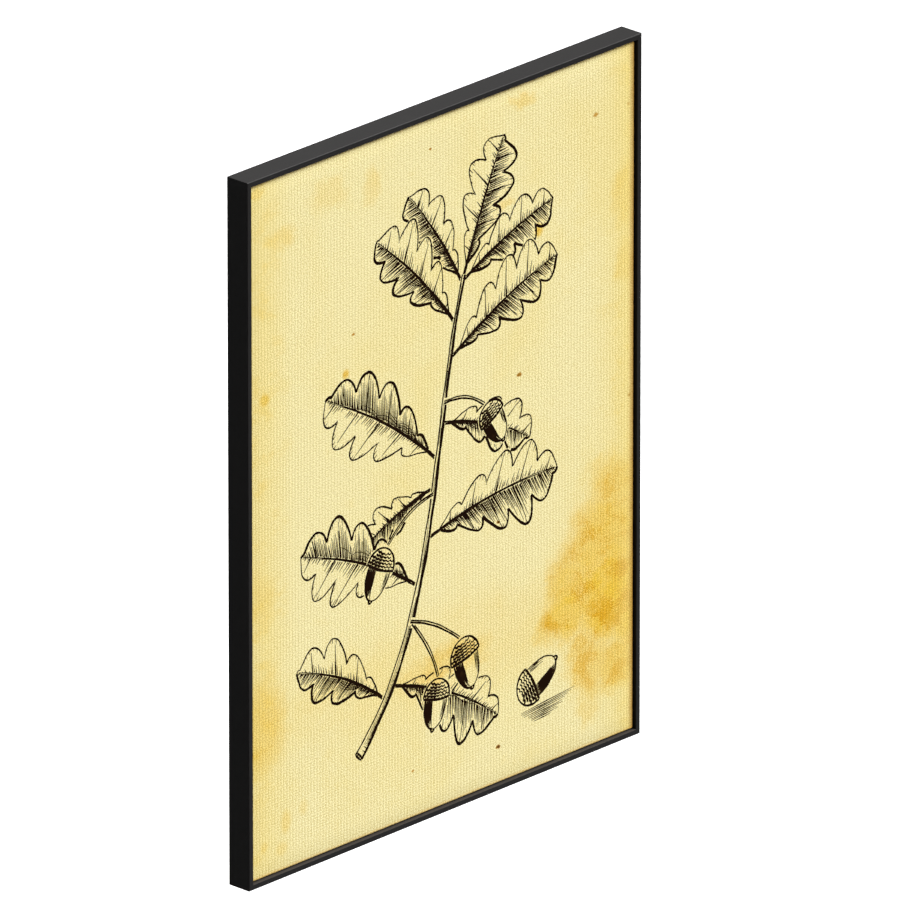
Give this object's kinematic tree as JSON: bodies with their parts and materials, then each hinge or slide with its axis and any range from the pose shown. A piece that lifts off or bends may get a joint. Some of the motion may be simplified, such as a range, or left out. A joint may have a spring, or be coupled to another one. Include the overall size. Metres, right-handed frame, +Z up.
{
  "type": "framed canvas wall picture",
  "caption": "Tall stretched canvas print on keyed wooden bars, set with a shadow gap in a thin black floater frame that hangs on a wall by strap hangers with swinging rings.",
  "frame": {"origin": "on the wall, midway between the two hooks that the hanger rings hang on", "axes": "+X to the right as the picture is looked at, +Y into the wall, +Z up"},
  "size_m": [0.782, 0.043, 1.036],
  "materials": {
    "black_frame": "satin black paint",
    "canvas_cloth": "printed, matt",
    "pine": "planed, bare",
    "key_wood": "sawn, bare",
    "zinc_steel": "zinc plated",
    "bright_steel": "bare",
    "bumper_rubber": "matt"
  },
  "bodies": {
    "picture": {"canvas": "canvas_cloth", "canvas_screw_bottom_1": "zinc_steel", "canvas_screw_bottom_2": "zinc_steel", "canvas_screw_left_1": "zinc_steel", "canvas_screw_left_2": "zinc_steel", "canvas_screw_left_3": "zinc_steel", "canvas_screw_right_1": "zinc_steel", "canvas_screw_right_2": "zinc_steel", "canvas_screw_right_3": "zinc_steel", "canvas_screw_top_1": "zinc_steel", "canvas_screw_top_2": "zinc_steel", "corner_key_bottom_left_level": "key_wood", "corner_key_bottom_left_upright": "key_wood", "corner_key_bottom_right_level": "key_wood", "corner_key_bottom_right_upright": "key_wood", "corner_key_top_left_level": "key_wood", "corner_key_top_left_upright": "key_wood", "corner_key_top_right_level": "key_wood", "corner_key_top_right_upright": "key_wood", "frame_rail_bottom": "black_frame", "frame_rail_left": "black_frame", "frame_rail_right": "black_frame", "frame_rail_top": "black_frame", "hanger_screw_left_1": "zinc_steel", "hanger_screw_left_2": "zinc_steel", "hanger_screw_right_1": "zinc_steel", "hanger_screw_right_2": "zinc_steel", "hanger_strap_left": "zinc_steel", "hanger_strap_right": "zinc_steel", "stretcher_bar_bottom": "pine", "stretcher_bar_left": "pine", "stretcher_bar_right": "pine", "stretcher_bar_top": "pine", "stretcher_brace": "pine", "v_nail_bottom_left_inner": "bright_steel", "v_nail_bottom_left_outer": "bright_steel", "v_nail_bottom_right_inner": "bright_steel", "v_nail_bottom_right_outer": "bright_steel", "v_nail_top_left_inner": "bright_steel", "v_nail_top_left_outer": "bright_steel", "v_nail_top_right_inner": "bright_steel", "v_nail_top_right_outer": "bright_steel", "wall_bumper_left": "bumper_rubber", "wall_bumper_right": "bumper_rubber"},
    "ring_left": {"hanger_ring_left": "zinc_steel"},
    "ring_right": {"hanger_ring_right": "zinc_steel"}
  },
  "joints": [
    {"name": "ring_left_swing", "type": "hinge", "parent": "picture", "child": "ring_left", "pos_m": [-0.372, -0.0028, -0.01174], "axis": [-1, 0, 0], "range_deg": [0, 177.7]},
    {"name": "ring_right_swing", "type": "hinge", "parent": "picture", "child": "ring_right", "pos_m": [0.372, -0.0028, -0.01174], "axis": [-1, 0, 0], "range_deg": [0, 177.7]}
  ]
}
